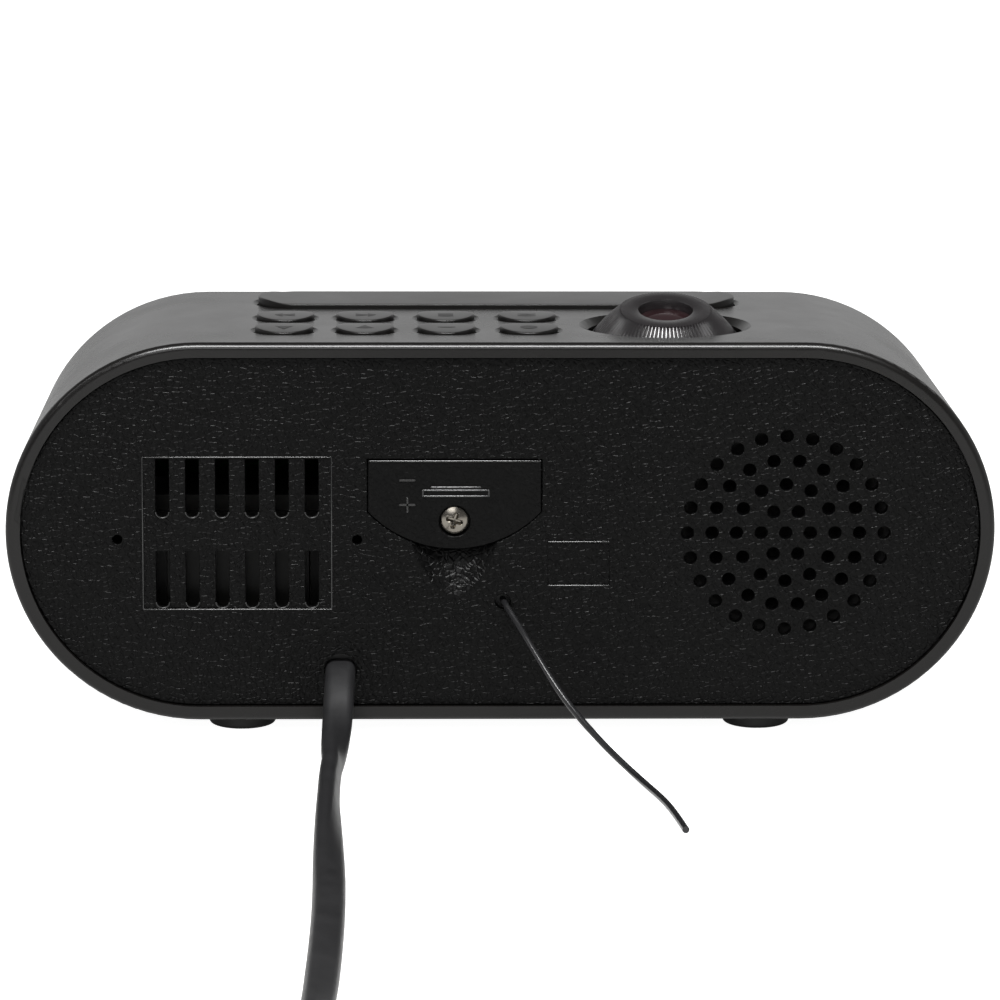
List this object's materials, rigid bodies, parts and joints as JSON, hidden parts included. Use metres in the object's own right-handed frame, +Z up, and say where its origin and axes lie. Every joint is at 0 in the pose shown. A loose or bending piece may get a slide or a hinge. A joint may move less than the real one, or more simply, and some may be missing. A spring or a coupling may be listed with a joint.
{
  "type": "projection alarm clock",
  "caption": "Mains alarm clock in a stadium-shaped housing: round top keys, snooze bar, tilting projector, smoked display window, rear panel with battery drawer and speaker grille.",
  "frame": {"origin": "on the surface the clock stands on, under the middle of the housing, cords left out", "axes": "+X along the clock's length, -Y the display side, +Y the rear panel, +Z up"},
  "size_m": [0.19, 0.3805, 0.0815],
  "materials": {
    "shell_abs": "satin moulded",
    "panel_abs": "fine leather texture",
    "smoked_acrylic": "polished",
    "module_abs": "matt",
    "segment_acrylic": "translucent",
    "board_laminate": "satin",
    "component_epoxy": "matt",
    "zinc_steel": "zinc plated",
    "key_abs": "satin moulded",
    "projector_abs": "satin moulded",
    "lens_acrylic": "polished, dark red",
    "lamp_board": "satin",
    "cell_steel": "bright",
    "spring_brass": "bright",
    "speaker_steel": "black painted",
    "speaker_paper": "pressed paper",
    "ferrite": "ground",
    "core_steel": "laminated, varnished",
    "winding_tape": "polyester tape",
    "strap_steel": "zinc plated",
    "clamp_nylon": "matt",
    "foot_rubber": "matt",
    "cord_pvc": "satin"
  },
  "bodies": {
    "housing": {"antenna_anchor": "clamp_nylon", "antenna_wire": "cord_pvc", "board_parts": "component_epoxy", "cell_contacts": "spring_brass", "cord_clamp": "clamp_nylon", "cord_coil": "cord_pvc", "cradle_screws": "zinc_steel", "digit_segments": "segment_acrylic", "display_module": "module_abs", "display_window": "smoked_acrylic", "key_board": "board_laminate", "key_board_screws": "zinc_steel", "main_board": "board_laminate", "main_board_screws": "zinc_steel", "mains_cord": "cord_pvc", "mains_plug": "cord_pvc", "outer_shell": "shell_abs", "plug_lead": "cord_pvc", "plug_pins": "spring_brass", "projector_cradle": "projector_abs", "rear_panel": "panel_abs", "rubber_feet": "foot_rubber", "speaker_basket": "speaker_steel", "speaker_cone": "speaker_paper", "speaker_magnet": "ferrite", "speaker_screws": "zinc_steel", "tact_switches": "component_epoxy", "transformer_core": "core_steel", "transformer_screws": "zinc_steel", "transformer_strap": "strap_steel", "transformer_winding": "winding_tape"},
    "key_1": {"key_1": "key_abs"},
    "key_2": {"key_2": "key_abs"},
    "key_3": {"key_3": "key_abs"},
    "key_4": {"key_4": "key_abs"},
    "key_5": {"key_5": "key_abs"},
    "key_6": {"key_6": "key_abs"},
    "key_7": {"key_7": "key_abs"},
    "key_8": {"key_8": "key_abs"},
    "snooze_bar": {"snooze_bar": "key_abs"},
    "projector": {"projector_ball": "projector_abs", "projector_lamp": "lamp_board"},
    "focus_wheel": {"focus_ring": "projector_abs", "projector_lens": "lens_acrylic"},
    "battery_drawer": {"battery_drawer": "panel_abs", "drawer_screw": "zinc_steel", "coin_cell": "cell_steel"}
  },
  "joints": [
    {"name": "key_1_press", "type": "slide", "parent": "housing", "child": "key_1", "axis": [0, 0, -1], "range_m": [0, 0.0006], "stiffness_N_per_m": 1200},
    {"name": "key_2_press", "type": "slide", "parent": "housing", "child": "key_2", "axis": [0, 0, -1], "range_m": [0, 0.0006], "stiffness_N_per_m": 1200},
    {"name": "key_3_press", "type": "slide", "parent": "housing", "child": "key_3", "axis": [0, 0, -1], "range_m": [0, 0.0006], "stiffness_N_per_m": 1200},
    {"name": "key_4_press", "type": "slide", "parent": "housing", "child": "key_4", "axis": [0, 0, -1], "range_m": [0, 0.0006], "stiffness_N_per_m": 1200},
    {"name": "key_5_press", "type": "slide", "parent": "housing", "child": "key_5", "axis": [0, 0, -1], "range_m": [0, 0.0006], "stiffness_N_per_m": 1200},
    {"name": "key_6_press", "type": "slide", "parent": "housing", "child": "key_6", "axis": [0, 0, -1], "range_m": [0, 0.0006], "stiffness_N_per_m": 1200},
    {"name": "key_7_press", "type": "slide", "parent": "housing", "child": "key_7", "axis": [0, 0, -1], "range_m": [0, 0.0006], "stiffness_N_per_m": 1200},
    {"name": "key_8_press", "type": "slide", "parent": "housing", "child": "key_8", "axis": [0, 0, -1], "range_m": [0, 0.0006], "stiffness_N_per_m": 1200},
    {"name": "snooze_press", "type": "slide", "parent": "housing", "child": "snooze_bar", "axis": [0, 0, -1], "range_m": [0, 0.0009], "stiffness_N_per_m": 1500},
    {"name": "projector_tilt", "type": "hinge", "parent": "housing", "child": "projector", "pos_m": [-0.03227, 0.0112, 0.06959], "axis": [1, 0, 0], "range_deg": [-30, 48]},
    {"name": "focus_turn", "type": "hinge", "parent": "projector", "child": "focus_wheel", "pos_m": [-0.03227, 0.0112, 0.06959], "axis": [0, 0.225, 0.9744], "range_deg": [-120, 120]},
    {"name": "battery_drawer_slide", "type": "slide", "parent": "housing", "child": "battery_drawer", "axis": [0, 1, 0], "range_m": [0, 0.022]}
  ]
}
